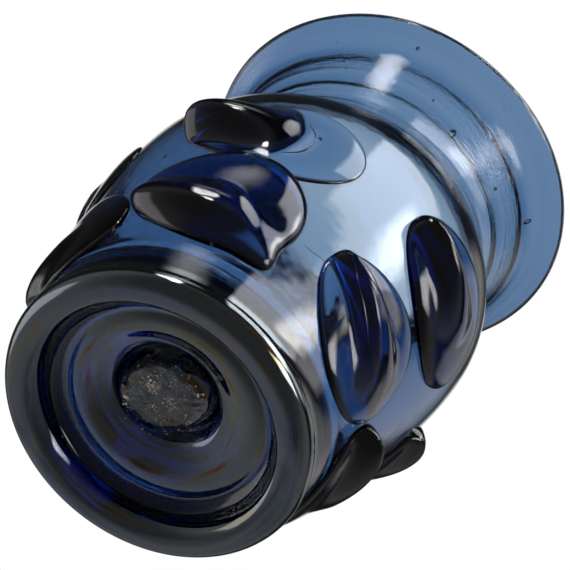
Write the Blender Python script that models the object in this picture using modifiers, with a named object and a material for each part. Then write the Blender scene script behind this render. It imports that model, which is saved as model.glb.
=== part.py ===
"""Prunted beaker of blown blue glass, standing on its foot ring.

Metres, +Z up. The origin is on the surface that the beaker stands on, at the middle of its plan.
The vessel is one turned wall with a thick foot ring, leaning a little as a free-blown glass does,
and two rows of prunts are melted into its side.
"""

import math
from typing import NamedTuple

import bmesh
import bpy
from mathutils import Matrix, Vector

# Foot ring, with the narrow flat that it rests on
RING_RADIUS = 0.0233
RING_HALF_WIDTH = 0.0035
RING_HALF_HEIGHT = 0.0027
RING_FLAT = 0.0012
RING_TOP_TURN = 42.0
RING_TOP = RING_HALF_HEIGHT * (1.0 + math.sin(math.radians(RING_TOP_TURN)))

# Outer form of the wall: the lip's height, then radii, slopes, and how far each level is below the next
LIP_HEIGHT = 0.0888
HEEL_STEP = 0.0019
HEEL_OUTSET = 0.0029
HEEL_SLOPE = 0.12
BELLY_RADIUS = 0.0330
SHOULDER_RISE = 0.0247
SHOULDER_FULLNESS = 1.57
NECK_RADIUS = 0.0248
COLLAR_RISE = 0.0110
COLLAR_RADIUS = 0.0279
COLLAR_SLOPE = 0.32
LIP_RISE = 0.0050
LIP_RADIUS = 0.0323
LIP_SLOPE = 1.15
LEAN = 0.0058

HEEL_RADIUS = RING_RADIUS + HEEL_OUTSET
HEEL_HEIGHT = RING_TOP + HEEL_STEP
COLLAR_HEIGHT = LIP_HEIGHT - LIP_RISE
NECK_HEIGHT = COLLAR_HEIGHT - COLLAR_RISE
BELLY_HEIGHT = NECK_HEIGHT - SHOULDER_RISE

# Wall thickness of the glass
HEEL_WALL = 0.0017
BELLY_WALL = 0.0010
NECK_WALL = 0.0016
LIP_WALL = 0.0020

# Underside: groove beside the ring, kick, dimple and the pontil scar left inside it
GROOVE_INSET = 0.0038
GROOVE_HEIGHT = 0.0068
GROOVE_LIP = 0.0018
KICK_HEIGHT = 0.0055
DIMPLE_RADIUS = 0.0094
DIMPLE_RISE = 0.0011
DIMPLE_DEPTH = 0.0030
SCAR_RADIUS = 0.0062
SCAR_FACE_RADIUS = 0.0053
SCAR_SHOULDER = 0.0028
SCAR_RISE = 0.0040
SCAR_CROWN = 0.0003
SCAR_STRETCH = 0.35
SCAR_TURN = math.radians(-47.0)
DRIFT_X = -0.0012
DRIFT_Y = -0.0003

GROOVE_RADIUS = RING_RADIUS - GROOVE_INSET
KICK_RADIUS = GROOVE_RADIUS - GROOVE_LIP
DIMPLE_EDGE = KICK_HEIGHT + DIMPLE_RISE
DIMPLE_TOP = DIMPLE_EDGE + DIMPLE_DEPTH

# Inside of the base
FLOOR_THICKNESS = 0.0090
FLOOR_SAG = 0.0096
FLOOR_CORNER = 0.0036
FLOOR_MIDDLE = DIMPLE_TOP + FLOOR_THICKNESS
FLOOR_EDGE = FLOOR_MIDDLE - FLOOR_SAG

# Prunts: two rows of nipped blobs
UPPER_ROW = 0.0430
LOWER_ROW = 0.0225
PRUNT_LENGTH = 0.0290
PRUNT_WIDTH = 0.0190
PAD_HEIGHT = 0.0017
TONGUE_RISE = 0.0040
TONGUE_REACH = 0.0024

# Form of every prunt, as shares of its own half length, half width or the wall under it
ROOT_DEPTH = 0.6
PAD_EDGE = 0.45
TONGUE_WIDTH = 0.46
TONGUE_START = 0.40
TONGUE_RUN = 0.55
TAPER_START = 0.5
TAPER_RUN = 1.5
TAIL_TURN = -47.0
TAIL_SPREAD = 14.0


class Prunt(NamedTuple):
    """One blob: azimuth and tilt in degrees, then shares of the common sizes."""

    name: str
    azimuth: float
    row: float
    up: float = 0.0
    length: float = 1.0
    width: float = 1.0
    tilt: float = -6.0
    pad: float = 1.0
    rise: float = 1.0
    taper: float = 0.25
    side: float = 0.0
    crest: float = 0.0
    tail: float = 0.0


PRUNTS = (
    Prunt("upper_front_left", -119.0, UPPER_ROW, -0.06, 1.07, 1.05, tilt=4.0, pad=0.75, rise=1.5, side=0.1),
    Prunt("upper_front_right", -46.0, UPPER_ROW, up=-0.06, length=1.05, tilt=-9.0, taper=0.1, side=-0.15),
    Prunt("upper_right", 27.0, UPPER_ROW, up=-0.08, width=1.02, tilt=1.0, rise=0.8),
    Prunt("upper_back", 100.0, UPPER_ROW),
    Prunt("upper_left", 166.0, UPPER_ROW, up=0.03, pad=0.7, rise=0.9),
    Prunt("lower_front_left", -121.0, LOWER_ROW, 0.07, 1.0, 1.22, tilt=3.0, pad=2.0, rise=0.6,
          side=-0.4, tail=0.26),
    Prunt("lower_front_right", -54.5, LOWER_ROW, up=-0.04, width=1.12, tilt=-17.0),
    Prunt("lower_right", 3.0, LOWER_ROW, up=-0.28, length=0.95, tilt=-4.0, rise=1.1),
    Prunt("lower_back_right", 66.0, LOWER_ROW, length=0.95, width=1.05),
    Prunt("lower_back_left", 124.0, LOWER_ROW, length=0.95, width=1.05),
    Prunt("lower_left", 181.0, LOWER_ROW, up=-0.18, width=1.05, tilt=4.0, pad=0.9, rise=0.8, crest=-0.8),
)

# Fineness of the solids
TURNS = 40
BODY_ROWS = 7
SHOULDER_ROWS = 9
COLLAR_ROWS = 5
LIP_ROWS = 4
RIM_STEPS = 4
RING_STEPS = 6
GROOVE_STEPS = 4
KICK_STEPS = 3
FLOOR_STEPS = 5
PRUNT_SEGMENTS = 18
PRUNT_RINGS = 12

# Glass
GLASS_COLOUR = (0.08, 0.14, 0.28, 1.0)
GLASS_ROUGHNESS = 0.04
AXIS_MERGE = 0.00001


def clear_scene():
    """Remove every object that is already in the scene."""
    for item in list(bpy.data.objects):
        bpy.data.objects.remove(item, do_unlink=True)


def new_collection(name):
    """A collection of the given name, linked to the scene."""
    made = bpy.data.collections.new(name)
    bpy.context.scene.collection.children.link(made)
    return made


def blue_glass():
    """Dark grey-blue transparent glass."""
    material = bpy.data.materials.new("blue_glass")
    material.use_nodes = True
    shader = material.node_tree.nodes["Principled BSDF"]
    shader.inputs["Base Color"].default_value = GLASS_COLOUR
    shader.inputs["Roughness"].default_value = GLASS_ROUGHNESS
    shader.inputs["Metallic"].default_value = 0.0
    shader.inputs["Transmission Weight"].default_value = 1.0
    return material


def blend(start, end, share):
    """The value a share of the way from start to end."""
    return start + (end - start) * share


def ease(share):
    """Smooth step: 0 below 0, 1 above 1, level at both ends."""
    share = min(max(share, 0.0), 1.0)
    return share * share * (3.0 - 2.0 * share)


def bend_between(height, low, high):
    """Cubic through two stations (height, radius, slope), with their slopes."""
    span = high[0] - low[0]
    t = (height - low[0]) / span
    rise = (2 * t**3 - 3 * t**2 + 1) * low[1] + (3 * t**2 - 2 * t**3) * high[1]
    pull = (t**3 - 2 * t**2 + t) * low[2] + (t**3 - t**2) * high[2]
    return rise + pull * span


def outer_radius(height):
    """Radius of the outside of the wall: heel, belly, shoulder, neck, collar and lip."""
    heel = (HEEL_HEIGHT, HEEL_RADIUS, HEEL_SLOPE)
    belly = (BELLY_HEIGHT, BELLY_RADIUS, 0.0)
    neck = (NECK_HEIGHT, NECK_RADIUS, 0.0)
    collar = (COLLAR_HEIGHT, COLLAR_RADIUS, COLLAR_SLOPE)
    lip = (LIP_HEIGHT, LIP_RADIUS, LIP_SLOPE)
    if height < BELLY_HEIGHT:
        return bend_between(height, heel, belly)
    if height < NECK_HEIGHT:
        share = (height - BELLY_HEIGHT) / (NECK_HEIGHT - BELLY_HEIGHT)
        return blend(BELLY_RADIUS, NECK_RADIUS, ease(share**SHOULDER_FULLNESS))
    if height < COLLAR_HEIGHT:
        return bend_between(height, neck, collar)
    return bend_between(height, collar, lip)


def wall_at(height):
    """Thickness of the wall, measured square to it."""
    if height < BELLY_HEIGHT:
        return blend(HEEL_WALL, BELLY_WALL, ease((height - HEEL_HEIGHT) / (BELLY_HEIGHT - HEEL_HEIGHT)))
    if height < NECK_HEIGHT:
        return blend(BELLY_WALL, NECK_WALL, (height - BELLY_HEIGHT) / (NECK_HEIGHT - BELLY_HEIGHT))
    return blend(NECK_WALL, LIP_WALL, (height - NECK_HEIGHT) / (LIP_HEIGHT - NECK_HEIGHT))


def outward(height):
    """Outward unit normal of the outer wall, as radial and upright parts."""
    step = 0.0001
    slope = (outer_radius(height + step) - outer_radius(height - step)) / (2 * step)
    size = math.hypot(1.0, slope)
    return 1.0 / size, -slope / size


def stations():
    """Heights of the rows of the outer wall from the heel to the lip, closer where it bends."""
    rows = [(HEEL_HEIGHT, BELLY_HEIGHT, BODY_ROWS), (BELLY_HEIGHT, NECK_HEIGHT, SHOULDER_ROWS)]
    rows += [(NECK_HEIGHT, COLLAR_HEIGHT, COLLAR_ROWS), (COLLAR_HEIGHT, LIP_HEIGHT, LIP_ROWS)]
    heights = [blend(low, high, i / count) for low, high, count in rows for i in range(count)]
    return heights + [LIP_HEIGHT]


def rim_arc():
    """Rounded edge of the lip, from the inner face over the top to the outer face."""
    radial, upright = outward(LIP_HEIGHT)
    half = LIP_WALL / 2
    centre = (LIP_RADIUS - half * radial, LIP_HEIGHT - half * upright)
    facing = math.atan2(upright, radial)
    turns = [facing + math.pi * i / RIM_STEPS for i in range(RIM_STEPS - 1, 0, -1)]
    return [(centre[0] + half * math.cos(a), centre[1] + half * math.sin(a)) for a in turns]


def ring_arc():
    """Foot ring from its outer shoulder down to the flat that it rests on, and up its inner side."""
    bulge = RING_HALF_WIDTH - RING_FLAT / 2
    outer_edge = RING_RADIUS + RING_FLAT / 2
    inner_edge = RING_RADIUS - RING_FLAT / 2
    points = []
    for i in range(RING_STEPS + 1):
        angle = math.radians(blend(RING_TOP_TURN, -90.0, i / RING_STEPS))
        points.append((outer_edge + bulge * math.cos(angle), RING_HALF_HEIGHT * (1.0 + math.sin(angle))))
    for i in range(GROOVE_STEPS + 1):
        angle = math.radians(90.0 * i / GROOVE_STEPS)
        radius = inner_edge - (inner_edge - GROOVE_RADIUS) * math.sin(angle)
        points.append((radius, GROOVE_HEIGHT * (1.0 - math.cos(angle))))
    return points


def underside():
    """From the groove inside the ring to the axis: kick, dimple and pontil scar."""
    points = []
    for i in range(KICK_STEPS + 1):
        share = i / KICK_STEPS
        rise = blend(KICK_HEIGHT, DIMPLE_EDGE, ease(share))
        points.append((blend(KICK_RADIUS, DIMPLE_RADIUS, share), rise))
    points.append(((DIMPLE_RADIUS + SCAR_RADIUS) / 2, DIMPLE_TOP))
    points.append((SCAR_RADIUS, DIMPLE_TOP - SCAR_SHOULDER))
    points.append((SCAR_FACE_RADIUS, DIMPLE_TOP - SCAR_RISE))
    points.append((0.0, DIMPLE_TOP - SCAR_RISE - SCAR_CROWN))
    return points


def inner_floor():
    """Inside of the base, from the axis out to where it turns up into the wall."""
    edge = HEEL_RADIUS - HEEL_WALL - FLOOR_CORNER
    shares = [i / FLOOR_STEPS for i in range(FLOOR_STEPS + 1)]
    return [(edge * share, blend(FLOOR_MIDDLE, FLOOR_EDGE, ease(share))) for share in shares]


def inner_wall():
    """Inside of the wall, square off the outer face, from the floor's rounded corner to the rim."""
    short = FLOOR_CORNER * (1.0 - math.sqrt(0.5))
    points = [(HEEL_RADIUS - HEEL_WALL - short, FLOOR_EDGE + short)]
    for height in stations():
        radial, upright = outward(height)
        wall = wall_at(height)
        inside = height - wall * upright
        if inside > FLOOR_EDGE + FLOOR_CORNER:
            points.append((outer_radius(height) - wall * radial, inside))
    return points


def turned_vessel():
    """The wall, foot and base as one turned solid, baked to a mesh."""
    outside = [(outer_radius(h), h) for h in reversed(stations())]
    profile = inner_floor() + inner_wall() + rim_arc() + outside + ring_arc() + underside()
    mesh = bpy.data.meshes.new("beaker_profile")
    points = [(radius, 0.0, height) for radius, height in profile]
    mesh.from_pydata(points, [(i, i + 1) for i in range(len(points) - 1)], [])
    vessel = bpy.data.objects.new("beaker", mesh)
    bpy.context.scene.collection.objects.link(vessel)
    turn = vessel.modifiers.new("turn", "SCREW")
    turn.axis = "Z"
    turn.angle = 2 * math.pi
    turn.steps = TURNS
    turn.render_steps = TURNS
    turn.use_merge_vertices = True
    turn.merge_threshold = AXIS_MERGE
    graph = bpy.context.evaluated_depsgraph_get()
    baked = bpy.data.meshes.new_from_object(vessel.evaluated_get(graph))
    bpy.data.objects.remove(vessel, do_unlink=True)
    for vertex in baked.vertices:
        vertex.co = leaned(drifted(vertex.co))
    return baked


def leaned(point):
    """The point moved sideways with its height, as far as the whole vessel leans."""
    return Vector((point.x + LEAN * point.z / LIP_HEIGHT, point.y, point.z))


def drifted(point):
    """The point as it is, or moved with the dimple and the drawn-out scar where it is under the floor."""
    if point.z > (DIMPLE_TOP + FLOOR_MIDDLE) / 2:
        return Vector(point)
    radius = math.hypot(point.x, point.y)
    share = 1.0 - ease((radius - DIMPLE_RADIUS) / (KICK_RADIUS - DIMPLE_RADIUS))
    drawn = SCAR_STRETCH * (1.0 - ease((radius - SCAR_RADIUS) / (DIMPLE_RADIUS - SCAR_RADIUS)))
    long_way = Vector((math.cos(SCAR_TURN), math.sin(SCAR_TURN), 0.0))
    return point + Vector((DRIFT_X, DRIFT_Y, 0.0)) * share + long_way * long_way.dot(point) * drawn


def on_wall(azimuth, along, up, height, lift):
    """A point on the outer wall, along and up from a prunt's middle, lifted off square to the wall."""
    level = height + up
    radius = outer_radius(level)
    radial, upright = outward(level)
    turn = azimuth + along / radius
    reach = radius + lift * radial
    return leaned(Vector((reach * math.cos(turn), reach * math.sin(turn), level + lift * upright)))


def tongue(prunt, x, y):
    """Height of the tongue as a share of its rise, over the pad's unit disc."""
    across = (y - prunt.side - prunt.crest * (TONGUE_START - x)) / TONGUE_WIDTH
    return ease((TONGUE_START - x) / TONGUE_RUN) * max(0.0, 1.0 - across**2)


def outline(prunt, x, y):
    """How far the pad's edge is drawn out in this direction, for its pinched tail."""
    off = (math.degrees(math.atan2(y, x)) - TAIL_TURN) / TAIL_SPREAD
    return 1.0 + prunt.tail * math.exp(-(off**2))


def prunt_mesh(prunt):
    """A prunt: a round-edged pad whose tongue rises towards its nipped end and reaches past it."""
    shape = bmesh.new()
    bmesh.ops.create_uvsphere(shape, u_segments=PRUNT_SEGMENTS, v_segments=PRUNT_RINGS, radius=1.0)
    slant = Matrix.Rotation(math.radians(prunt.tilt), 2)
    azimuth = math.radians(prunt.azimuth)
    middle = prunt.row + prunt.up * PRUNT_WIDTH
    for vertex in shape.verts:
        x, y, z = vertex.co
        narrowing = 1.0 - prunt.taper * ease((TAPER_START - x) / TAPER_RUN)
        share = tongue(prunt, x, y) if z > 0.0 else 0.0
        lift = (prunt.pad * PAD_HEIGHT + prunt.rise * TONGUE_RISE * share) * abs(z) ** PAD_EDGE
        reach = TONGUE_REACH * (share * z) ** 2
        drawn = outline(prunt, x, y)
        along = x * drawn * prunt.length * PRUNT_LENGTH / 2 - reach
        up = y * drawn * prunt.width * PRUNT_WIDTH / 2 * narrowing
        place = slant @ Vector((along, up))
        if z < 0.0:
            lift = -ROOT_DEPTH * wall_at(middle + place.y) * abs(z) ** PAD_EDGE
        vertex.co = on_wall(azimuth, place.x, place.y, middle, lift)
    mesh = bpy.data.meshes.new(prunt.name)
    shape.to_mesh(mesh)
    shape.free()
    return mesh


def to_middle(meshes):
    """Slide every mesh so that the middle of their common plan is at the origin."""
    corners = [vertex.co for mesh in meshes for vertex in mesh.vertices]
    for axis in range(2):
        spread = [corner[axis] for corner in corners]
        middle = (min(spread) + max(spread)) / 2
        for corner in corners:
            corner[axis] -= middle


def main():
    """Build the beaker with its prunts melted into the wall."""
    clear_scene()
    shown = new_collection("prunted_beaker")
    helpers = new_collection("prunts")
    vessel_mesh = turned_vessel()
    prunt_meshes = [prunt_mesh(prunt) for prunt in PRUNTS]
    to_middle([vessel_mesh, *prunt_meshes])
    glass = blue_glass()
    for mesh in prunt_meshes:
        mesh.materials.append(glass)
        blob = bpy.data.objects.new(mesh.name, mesh)
        blob.hide_render = True
        blob.display_type = "WIRE"
        helpers.objects.link(blob)
    vessel_mesh.materials.append(glass)
    vessel_mesh.shade_smooth()
    beaker = bpy.data.objects.new("beaker", vessel_mesh)
    shown.objects.link(beaker)
    melt = beaker.modifiers.new("melt_prunts", "BOOLEAN")
    melt.operation = "UNION"
    melt.solver = "EXACT"
    melt.operand_type = "COLLECTION"
    melt.collection = helpers


main()
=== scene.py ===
"""Prunted beaker of blown blue glass, finished over its solid and lit as in a studio.

Metres, +Z up, in the solid's own frame. The wall, foot ring, prunts and seeds are one closed piece of
glass, because light has to cross it without inner faces.
"""

import math
from dataclasses import dataclass

import bmesh
import bpy
import numpy as np
from bpy.props import FloatProperty, FloatVectorProperty, IntProperty, PointerProperty
from mathutils import Matrix, Vector


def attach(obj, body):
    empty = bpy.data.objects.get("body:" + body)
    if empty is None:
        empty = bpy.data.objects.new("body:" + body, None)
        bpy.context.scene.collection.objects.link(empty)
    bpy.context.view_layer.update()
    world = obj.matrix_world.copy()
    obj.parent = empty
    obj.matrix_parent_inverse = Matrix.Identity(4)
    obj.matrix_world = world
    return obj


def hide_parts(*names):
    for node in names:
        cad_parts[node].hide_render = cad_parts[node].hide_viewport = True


bl_info = {
    "name": "Prunted glass beaker",
    "version": (1, 0, 0),
    "blender": (4, 5, 0),
    "location": "View3D > Sidebar > Beaker",
    "description": "Blown beaker with nipped prunts, its seeds and soil, and a studio to show it in",
    "category": "Add Mesh",
}

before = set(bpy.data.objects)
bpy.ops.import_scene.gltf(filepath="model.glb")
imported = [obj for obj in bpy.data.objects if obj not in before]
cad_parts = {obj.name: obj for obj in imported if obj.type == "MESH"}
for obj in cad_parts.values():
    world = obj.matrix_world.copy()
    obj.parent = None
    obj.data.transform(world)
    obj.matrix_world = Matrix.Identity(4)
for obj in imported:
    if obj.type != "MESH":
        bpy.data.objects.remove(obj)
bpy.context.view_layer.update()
CAD_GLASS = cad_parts["beaker"]

# Fineness of the glass: steps round the axis, levels in metres, and counts of points, rows and columns
TURNS = 160
FINE_STEP = 0.00035
BODY_STEP = 0.0013
ARC_STEPS = 14
SOFT_STEPS = 9
CORNER_CUTS = 2
SCAR_ROWS = 18
PRUNT_COLUMNS, PRUNT_ROWS, ROOT_ROWS = 104, 46, 6
FOLD_STEPS, HAIR_STEPS, THREAD_COLUMNS = 40, 30, 8
SEED_COLUMNS, SEED_ROWS = 10, 6
SHARP_ANGLE = 38.0

# Soft unevenness of the hand-blown wall: waves round it, radians per metre up it, phase, height in metres
WAVES = (
    (2, 31.0, 0.4, 0.00016),
    (3, 58.0, 1.9, 0.00010),
    (5, 83.0, 4.1, 0.00005),
    (7, 140.0, 2.6, 0.00003),
)
WAVES_FADE = 0.003

# Rings drawn round the lip's inside: waves round it, radians per metre up it, phase, depth in metres
RIPPLES = (
    (1, 1900.0, 0.3, 0.00004),
    (2, 3300.0, 2.1, 0.000022),
    (-1, 5200.0, 4.0, 0.00001),
)
RIPPLES_START, RIPPLES_FADE = 0.068, 0.010

# Thicker bands round the lip's inside, which look darker: height, half width and depth in metres
BANDS = ((0.0855, 0.0015, 0.00042), (0.0790, 0.0013, 0.00030), (0.0738, 0.0011, 0.00024))
BAND_SWAY, BAND_TURN = 0.0003, 2.0

# Broken glass of the pontil scar: direction, radians per metre that way, phase, and height in metres
CRUMPLES = (
    (0.3, 1500.0, 0.5, 0.00016),
    (1.7, 2100.0, 2.2, 0.00012),
    (2.6, 3100.0, 4.6, 0.00008),
    (0.9, 4700.0, 1.1, 0.00005),
)
CRUMPLE_FADE = 0.0012

# Seeds: azimuth in degrees, height, and diameters round, up and through the wall in millimetres
SEEDS = (
    (-80.5, 77.6, 1.3, 1.9, 0.9),
    (-133.4, 82.1, 0.5, 0.4, 0.4),
    (-131.3, 80.6, 0.5, 0.4, 0.4),
    (-94.5, 80.1, 0.4, 0.4, 0.3),
    (-110.0, 86.6, 0.7, 0.5, 0.4),
    (-66.6, 76.7, 0.7, 0.7, 0.4),
    (-62.7, 80.2, 0.4, 0.4, 0.3),
    (-52.4, 79.1, 0.6, 0.8, 0.5),
    (-33.0, 84.6, 0.9, 1.5, 0.5),
    (-149.7, 34.9, 0.6, 1.1, 0.5),
    (-147.1, 36.6, 0.4, 0.5, 0.3),
    (-126.3, 10.4, 0.4, 0.3, 0.3),
    (-121.1, 10.1, 0.3, 0.3, 0.3),
    (-90.9, 43.5, 0.3, 0.3, 0.25),
    (-84.7, 38.3, 0.25, 0.3, 0.25),
    (-81.9, 38.5, 0.25, 0.25, 0.25),
)
SEED_DEPTH_LIMIT = 0.6

# Stray seeds: how many, tries, size, levels on the body and on the lip, gap, and the radius it is taken at
STRAY_SEEDS = 90
STRAY_TRIES = 8 * STRAY_SEEDS
STRAY_SEED_SIZE = (0.00012, 0.00030)
STRAY_ON_BODY, STRAY_ON_LIP = (0.012, 0.07), (0.07, 0.087)
STRAY_GAP, STRAY_RADIUS = 0.0015, 0.028


@dataclass
class Prunt:
    """A nipped blob: azimuth and tilt in degrees, then shares of the common prunt sizes.

    taper narrows the pad to its nipped end, tail draws its edge out one way, and edge is how full its
    edge is. nose, tip and swell shape the tongue: where it starts along the pad, how wide it is at the
    nipped end and how wide at the nose. step is the part of its rise that it takes at once, at the nose.
    soft is the part of its width that its shoulders take, side its place across the pad and crest its
    slant. detail is the fineness of the mesh.
    """

    azimuth: float
    row: str
    up: float = 0.0
    length: float = 1.0
    width: float = 1.0
    tilt: float = -6.0
    pad: float = 1.0
    rise: float = 1.0
    taper: float = 0.25
    crest: float = 0.0
    tail: float = 0.0
    nose: float = 0.45
    tip: float = 0.4
    swell: float = 0.65
    step: float = 0.2
    soft: float = 1.0
    side: float = 0.0
    edge: float = 0.65
    detail: float = 1.0


PRUNTS = {
    "upper_front_left": Prunt(-119.0, "upper", up=-0.06, length=1.07, width=1.05, tilt=4.0, pad=0.6,
                              rise=1.5, nose=0.3, tip=0.6, swell=0.95, step=0.15, side=0.1),
    "upper_front_right": Prunt(-46.0, "upper", up=-0.06, length=1.05, tilt=-9.0, pad=1.5, taper=0.1,
                               nose=0.5, side=-0.15),
    "upper_right": Prunt(27.0, "upper", up=-0.08, width=1.02, tilt=1.0, rise=0.8, detail=0.7),
    "upper_back": Prunt(100.0, "upper", detail=0.6),
    "upper_left": Prunt(166.0, "upper", up=0.03, pad=0.7, rise=0.9, detail=0.7),
    "lower_front_left": Prunt(-121.0, "lower", up=0.07, width=1.22, tilt=3.0, pad=2.0, rise=0.6,
                              tail=0.26, nose=0.48, tip=0.5, swell=0.5, step=0.5, soft=0.9, side=-0.4,
                              edge=0.75),
    "lower_front_right": Prunt(-54.5, "lower", up=-0.04, width=1.12, tilt=-17.0, nose=0.9, tip=0.3,
                               swell=0.7, soft=0.9),
    "lower_right": Prunt(3.0, "lower", up=-0.28, length=0.95, tilt=-4.0, rise=1.1, detail=0.8),
    "lower_back_right": Prunt(66.0, "lower", length=0.95, width=1.05, detail=0.6),
    "lower_back_left": Prunt(124.0, "lower", length=0.95, width=1.05, detail=0.6),
    "lower_left": Prunt(181.0, "lower", up=-0.18, width=1.05, tilt=4.0, pad=0.9, rise=0.8, crest=-0.8,
                        detail=0.8),
}

# What all the prunts share: the tail's bearing and spread in degrees, then shares of a prunt's sizes
TAIL_TURN, TAIL_SPREAD = -47.0, 14.0
ROOT_DEPTH = 0.6
TAPER_START, TAPER_RUN = 0.5, 1.5
NOSE_ROUND, NOSE_POWER, NOSE_WIDTH = 0.22, 0.7, 0.4
TONGUE_LEAD = 1.15

# Creases: prunt, radius of the crease, and its line as shares of the prunt's half length and half width
FOLDS = (
    ("lower_front_right", 0.00016,
     ((-0.98, -0.04), (-0.75, -0.10), (-0.53, -0.19), (-0.27, -0.23), (0.0, -0.27), (0.17, -0.27),
      (0.50, -0.22))),
    ("lower_front_right", 0.00014,
     ((-0.88, -0.05), (-0.60, -0.05), (-0.34, 0.05), (-0.16, 0.20), (0.0, 0.42), (0.18, 0.54))),
    ("upper_front_left", 0.00014,
     ((0.24, 0.43), (0.36, 0.22), (0.40, 0.03), (0.39, -0.17), (0.33, -0.36), (0.16, -0.53))),
    ("lower_front_left", 0.00014, ((-0.63, -0.33), (-0.32, -0.33), (-0.04, -0.33), (0.16, -0.28))),
)

# Hairs of glass on the wall: radius, then azimuth in degrees and height in millimetres
HAIRS = (
    (0.00012, ((-90.1, 23.2), (-87.0, 23.0), (-83.5, 23.4), (-80.4, 23.2))),
)

# Soil: arcs of the groove as degrees from, degrees to and grains; patches on the scar as x and y in
# millimetres, spread and largest grain in metres, and grains; specks on the wall as azimuth in degrees,
# height in millimetres and size in metres
SOIL_ARCS = ((84.0, 98.0, 9), (55.0, 82.0, 26), (18.0, 34.0, 15), (128.0, 140.0, 5), (-180.0, 180.0, 24))
SOIL_PATCHES = (
    (-3.1, -1.0, 0.00075, 0.00024, 46),
    (-4.9, -1.6, 0.00050, 0.00024, 9),
    (2.9, -6.1, 0.00045, 0.00024, 10),
    (-4.9, 5.2, 0.00060, 0.00024, 7),
    (-0.9, -0.4, 0.0027, 0.00011, 520),
)
SOIL_SPECKS = (
    (-118.6, 32.7, 0.00042),
    (-113.1, 13.6, 0.00030),
    (-107.9, 44.4, 0.00040),
    (-107.5, 44.2, 0.00036),
)
SOIL_OFF_GROOVE, SOIL_SPREAD, SOIL_SINK = 0.0002, 0.00018, 0.0001
GROOVE_GRAIN, SMALLEST_GRAIN = (0.00007, 0.00026), 0.00004

# Grains: depth, wave count and scale of their dents, then how far they are stretched and flattened
DENT_DEPTH, DENT_WAVES, DENT_SCALE = 0.28, 2.2, 1.7
GRAIN_STRETCH, GRAIN_FLATNESS = (0.7, 1.5), (1.0, 1.0, 0.7)

# Finish of the glass, each fade from none to full as heights or radii in metres: rings on the lip, the
# scar by radius and by height, haze by height from above and below, film on the underside and the foot
RINGS_FADE = (0.066, 0.080)
SCAR_FADE, SCAR_LEVEL_FADE = (0.0062, 0.0054), (0.0096, 0.0080)
HAZE_TOP_FADE, HAZE_FOOT_FADE = (0.058, 0.030), (0.006, 0.010)
UNDERSIDE_FADE, FOOT_FADE = (0.0115, 0.0095), (0.0064, 0.0050)
CLOUD_HAZE, SCAR_HAZE = 0.16, 0.28
SLOW_BUMP, RING_BUMP, PIT_BUMP = 0.00006, 0.00006, 0.00025

# Film: least thickness and what patches add in nanometres, its refractive index, and its soft edges at
# the kick, past the groove (from and to) and inside the groove, in metres
FILM_LEAST, FILM_PATCHES, FILM_BEND = 64.0, 100.0, 1.8
KICK_EDGE, PAST_GROOVE, GROOVE_EDGE = 0.0006, (0.0014, 0.0006), 0.0005

# Camera: the photograph's view, from below and in front, rolled over to its right
IMAGE_WIDTH = 570
FOCAL_PIXELS = 4000.0
VIEW_ELEVATION = -51.3
VIEW_ROLL = 38.7
VIEW_DISTANCE = 0.655
VIEW_TARGET = (0.00316, -0.01064, 0.0351)

# Light from all round: the dark surroundings, the white sheet, the table and how they fade, then soft
# panels. A panel has its bearing and half width in degrees, its place and half width to the front, slant,
# softness, strength and colour.
SURROUND = 0.04
SHEET = 0.80
TABLE = 0.32
SHEET_CORE, SHEET_EDGE = 9.0, 20.0
TABLE_FADE, TABLE_FRONT = (0.35, 0.05), (0.75, 0.05, 0.25, 1.1)
PANEL_SOFT_TURN = 60.0
PANELS = (
    (38.0, 18.0, -0.10, 0.27, -0.005, 0.06, 4.4, (0.98, 0.99, 1.0)),
    (22.0, 6.0, 0.04, 0.05, -0.007, 0.14, 9.5, (1.0, 0.96, 0.90)),
    (8.0, 6.0, -0.12, 0.10, 0.0, 0.15, 2.2, (1.0, 0.98, 0.96)),
    (83.0, 2.0, -0.17, 0.02, 0.0, 0.20, 2.4, (1.0, 1.0, 1.0)),
    (0.0, 9.0, 0.48, 0.12, 0.0, 0.12, 8.0, (1.0, 0.97, 0.93)),
    (95.0, 2.5, 0.38, 0.02, 0.0, 0.03, 45.0, (1.0, 1.0, 1.0)),
    (93.0, 5.0, 0.17, 0.06, 0.0, 0.05, 16.0, (1.0, 1.0, 1.0)),
    (-18.0, 22.0, -0.64, 0.14, 0.0, 0.18, 0.7, (1.0, 0.96, 0.92)),
    (178.0, 12.0, -0.15, 0.30, 0.0, 0.12, 1.3, (1.0, 0.97, 0.98)),
)

# Area lamps: name, direction in the camera's right, up and back, and power
SOFTBOXES = (("upper_softbox", (0.5, 0.8, 0.2), 6.0), ("front_softbox", (0.3, 0.2, 0.8), 5.0))
SOFTBOX_DISTANCE, SOFTBOX_SIDE = 0.9, 0.6

# Floor: corners, how far it lies below the foot, grey and roughness
FLOOR_SIDES, FLOOR_DROP, FLOOR_GREY, FLOOR_ROUGHNESS = 96, 0.0002, 0.82, 0.8


def length(name, default, text):
    """A size property in metres."""
    return FloatProperty(name=name, default=default, description=text, unit="LENGTH", precision=5)


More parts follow.
